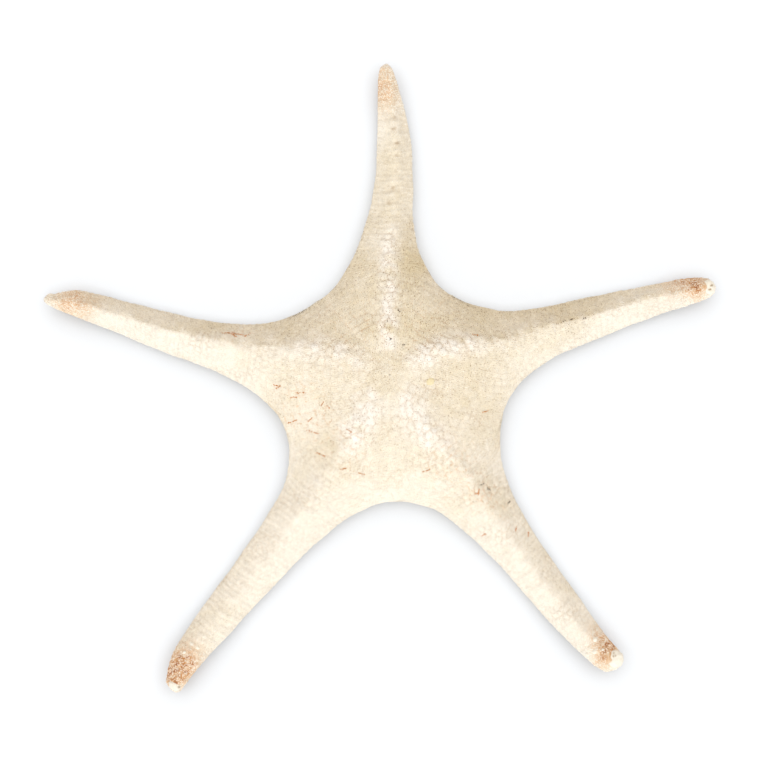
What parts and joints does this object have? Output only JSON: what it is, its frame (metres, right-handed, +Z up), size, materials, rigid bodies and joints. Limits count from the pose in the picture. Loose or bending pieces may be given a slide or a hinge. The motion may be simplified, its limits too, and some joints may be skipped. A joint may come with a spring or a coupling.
{
  "type": "dried starfish",
  "caption": "Bleached dried starfish with long tapering arms, a domed disc of fine skin plates, browned arm tips and a flat furrowed underside; free-standing display piece.",
  "frame": {"origin": "middle of the footprint's box, on the resting plane; the disc's centre lies about 4 mm away from it", "axes": "+X along the longest span, +Y along the arm that points away in the picture, +Z up from the resting plane"},
  "size_m": [0.2454, 0.2294, 0.024],
  "materials": {
    "skin": "matt, finely granular, bleached calcite skin with browned arm tips"
  },
  "bodies": {
    "root": {"starfish": "skin"}
  },
  "joints": []
}
